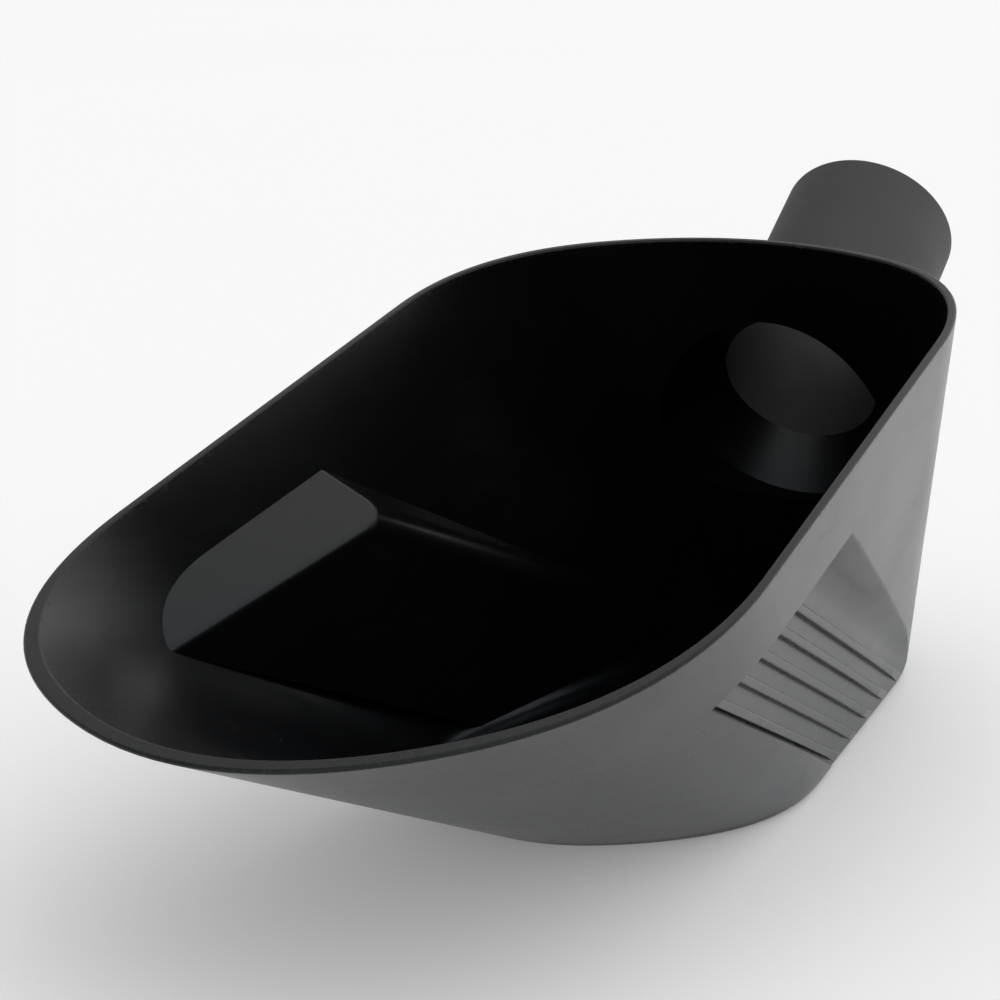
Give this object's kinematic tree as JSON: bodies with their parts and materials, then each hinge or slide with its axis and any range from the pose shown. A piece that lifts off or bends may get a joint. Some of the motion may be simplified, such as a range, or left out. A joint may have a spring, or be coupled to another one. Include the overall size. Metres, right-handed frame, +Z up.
{
  "type": "hand scoop",
  "caption": "Deep moulded hand scoop for grain and beans: rounded bowl, sloping rim, ribbed grip in each side and a short hollow tube handle at the back.",
  "frame": {"origin": "middle of the flat base, on the surface that the scoop stands on", "axes": "+X to the right, +Y from the front lip towards the tube handle, +Z up; the scoop is mirrored about X = 0"},
  "size_m": [0.1378, 0.347, 0.1274],
  "materials": {
    "bowl_plastic": "black, glossy, finely moulded",
    "tube_plastic": "charcoal, matt"
  },
  "bodies": {
    "root": {"scoop_bowl": "bowl_plastic", "handle_tube": "tube_plastic"}
  },
  "joints": []
}
